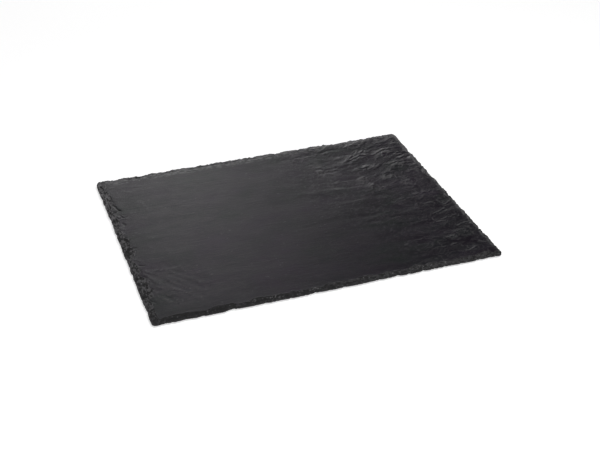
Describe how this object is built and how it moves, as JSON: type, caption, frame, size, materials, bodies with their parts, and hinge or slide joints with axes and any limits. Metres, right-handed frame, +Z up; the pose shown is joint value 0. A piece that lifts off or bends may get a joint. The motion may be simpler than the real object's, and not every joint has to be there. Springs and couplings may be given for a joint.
{
  "type": "slate serving board",
  "caption": "Thin rectangular serving board of riven slate with hand-chipped edges, raised on small round stick-on feet.",
  "frame": {"origin": "under the middle of the board, on the surface that the feet stand on", "axes": "+X along the board's long side and the grain of the slate, +Y across it from the front edge to the rear edge, +Z up out of the serving face"},
  "size_m": [0.4, 0.3, 0.0077],
  "materials": {
    "slate": "satin",
    "foot_rubber": "matte",
    "adhesive": "matte"
  },
  "bodies": {
    "root": {"slate_sheet": "slate", "foot_front_left": "foot_rubber", "foot_front_right": "foot_rubber", "foot_rear_left": "foot_rubber", "foot_rear_right": "foot_rubber", "adhesive_disc_front_left": "adhesive", "adhesive_disc_front_right": "adhesive", "adhesive_disc_rear_left": "adhesive", "adhesive_disc_rear_right": "adhesive"}
  },
  "joints": []
}
